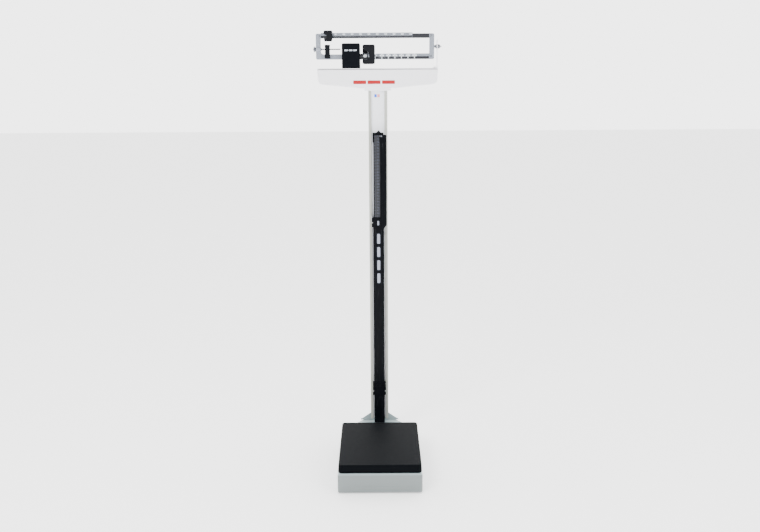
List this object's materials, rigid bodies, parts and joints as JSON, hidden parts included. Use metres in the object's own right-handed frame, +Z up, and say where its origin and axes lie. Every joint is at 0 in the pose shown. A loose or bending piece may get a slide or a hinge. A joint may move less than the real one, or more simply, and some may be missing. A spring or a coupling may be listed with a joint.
{
  "type": "physician beam scale",
  "caption": "Upright mechanical weigh-beam scale with a lever platform, hollow column, sliding poises and a telescoping height rod with a folding measuring arm.",
  "frame": {"origin": "on the floor under the middle of the scale", "axes": "+Z up, +X to the right of someone facing the platform's front, -Y towards the front of the platform"},
  "size_m": [0.426, 0.505, 1.4248],
  "materials": {
    "base_paint": "light grey baked enamel",
    "rubber_feet": "moulded black rubber",
    "bearing_steel": "ground hardened steel",
    "zinc_screws": "zinc plated steel",
    "column_paint": "off-white baked enamel",
    "label_print": "printed vinyl label with a plain blue and pink block",
    "shelf_paint": "white baked enamel",
    "stand_steel": "plain steel",
    "cover_black": "semi-gloss black moulding",
    "rod_black": "satin black enamel",
    "scale_print": "satin black enamel with light printed graduations",
    "platform_rubber": "fine-grained black rubber cover",
    "lever_iron": "grey painted cast iron",
    "beam_silver": "silver die casting",
    "graduated_bar": "silver bar with a dark printed band and light graduations",
    "bright_steel": "nickel plated",
    "poise_grey": "dark grey satin casting"
  },
  "bodies": {
    "root": {"base_housing": "base_paint", "base_pan": "base_paint", "base_feet": "rubber_feet", "lever_stands": "bearing_steel", "column_foot": "base_paint", "foot_bolts": "zinc_screws", "column": "column_paint", "front_label": "label_print", "beam_shelf": "shelf_paint", "shelf_screws": "zinc_screws", "shelf_lever_stand": "stand_steel", "fulcrum_stand": "stand_steel", "fulcrum_bearings": "bearing_steel", "fulcrum_cover": "cover_black", "trig_loop": "shelf_paint", "shelf_top_screws": "zinc_screws", "outer_rod_case": "rod_black", "upper_rod_bracket": "rod_black", "lower_rod_bracket": "rod_black", "bracket_screws": "zinc_screws", "rod_friction_spring": "bearing_steel"},
    "platform": {"platform_plate": "stand_steel", "platform_cover": "platform_rubber", "platform_shoes": "bearing_steel"},
    "long_lever": {"long_lever": "lever_iron", "long_lever_pivots": "bearing_steel", "nose_iron": "bearing_steel"},
    "short_lever": {"short_lever": "lever_iron", "short_lever_pivots": "bearing_steel"},
    "lever_stirrup": {"lever_stirrup": "stand_steel"},
    "steelyard_rod": {"steelyard_rod": "stand_steel"},
    "shelf_lever": {"shelf_lever": "lever_iron", "shelf_lever_pivots": "bearing_steel"},
    "beam_link": {"beam_link": "stand_steel"},
    "beam": {"beam_frame": "beam_silver", "beam_end": "beam_silver", "main_bar": "graduated_bar", "fractional_bar": "graduated_bar", "beam_rivets": "zinc_screws", "fulcrum_pivot": "bearing_steel", "load_pivot": "bearing_steel", "pointer": "bright_steel"},
    "balance_screw": {"balance_rod": "bright_steel", "balance_knob": "bright_steel"},
    "balance_weight": {"balance_weight": "poise_grey"},
    "main_poise": {"main_poise": "poise_grey", "poise_pawl": "bearing_steel"},
    "fractional_poise": {"fractional_poise": "poise_grey", "poise_spring": "bearing_steel"},
    "middle_rod": {"middle_rod": "rod_black"},
    "scale_rod": {"scale_rod": "scale_print", "rod_head": "rod_black", "hinge_pin": "zinc_screws"},
    "measuring_arm": {"measuring_arm": "rod_black", "arm_rivet": "zinc_screws"}
  },
  "joints": [
    {"name": "beam_tilt", "type": "hinge", "parent": "root", "child": "beam", "pos_m": [-0.078, 0.2065, 1.345], "axis": [0, -1, 0], "range_deg": [-2, 2]},
    {"name": "shelf_lever_tilt", "type": "hinge", "parent": "root", "child": "shelf_lever", "pos_m": [0.0588, 0.2065, 1.282], "axis": [0, -1, 0], "range_deg": [-0.281, 0.281]},
    {"name": "beam_link_slide", "type": "slide", "parent": "root", "child": "beam_link", "axis": [0, 0, 1], "range_m": [-0.00077, 0.00077]},
    {"name": "steelyard_rod_slide", "type": "slide", "parent": "root", "child": "steelyard_rod", "axis": [0, 0, 1], "range_m": [-0.000288, 0.000288]},
    {"name": "long_lever_tilt", "type": "hinge", "parent": "root", "child": "long_lever", "pos_m": [0, -0.2135, 0.042], "axis": [1, 0, 0], "range_deg": [-0.0393, 0.0393]},
    {"name": "short_lever_tilt", "type": "hinge", "parent": "root", "child": "short_lever", "pos_m": [0, 0.0665, 0.02], "axis": [1, 0, 0], "range_deg": [-0.0393, 0.0393]},
    {"name": "lever_stirrup_slide", "type": "slide", "parent": "root", "child": "lever_stirrup", "axis": [0, 0, 1], "range_m": [-0.000096, 0.000096]},
    {"name": "platform_slide", "type": "slide", "parent": "root", "child": "platform", "axis": [0, 0, 1], "range_m": [-0.0000274, 0.0000274]},
    {"name": "main_poise_slide", "type": "slide", "parent": "beam", "child": "main_poise", "axis": [1, 0, 0], "range_m": [0, 0.1512]},
    {"name": "fractional_poise_slide", "type": "slide", "parent": "beam", "child": "fractional_poise", "axis": [1, 0, 0], "range_m": [0, 0.2895]},
    {"name": "balance_screw_turn", "type": "hinge", "parent": "beam", "child": "balance_screw", "pos_m": [-0.2, 0.2065, 1.3645], "axis": [1, 0, 0], "range_deg": [-1800, 1800]},
    {"name": "balance_weight_slide", "type": "slide", "parent": "beam", "child": "balance_weight", "axis": [1, 0, 0], "range_m": [-0.0064, 0.0064]},
    {"name": "middle_rod_slide", "type": "slide", "parent": "root", "child": "middle_rod", "axis": [0, 0, 1], "range_m": [0, 0.6]},
    {"name": "scale_rod_slide", "type": "slide", "parent": "middle_rod", "child": "scale_rod", "axis": [0, 0, 1], "range_m": [-0.247, 0.392]},
    {"name": "measuring_arm_fold", "type": "hinge", "parent": "scale_rod", "child": "measuring_arm", "pos_m": [0.0173, 0.1523, 1.0835], "axis": [-1, 0, 0], "range_deg": [0, 90]}
  ],
  "couplings": [
    {"joint": "shelf_lever_tilt", "follows": "beam_tilt", "ratio": 0.12755},
    {"joint": "beam_link_slide", "follows": "beam_tilt", "m_per_rad": -0.02},
    {"joint": "steelyard_rod_slide", "follows": "beam_tilt", "m_per_rad": -0.0075},
    {"joint": "long_lever_tilt", "follows": "beam_tilt", "ratio": -0.017857},
    {"joint": "short_lever_tilt", "follows": "beam_tilt", "ratio": 0.017857},
    {"joint": "lever_stirrup_slide", "follows": "beam_tilt", "m_per_rad": -0.0025},
    {"joint": "platform_slide", "follows": "beam_tilt", "m_per_rad": -0.00071429},
    {"joint": "balance_weight_slide", "follows": "balance_screw_turn", "m_per_rad": 0.00019894}
  ]
}
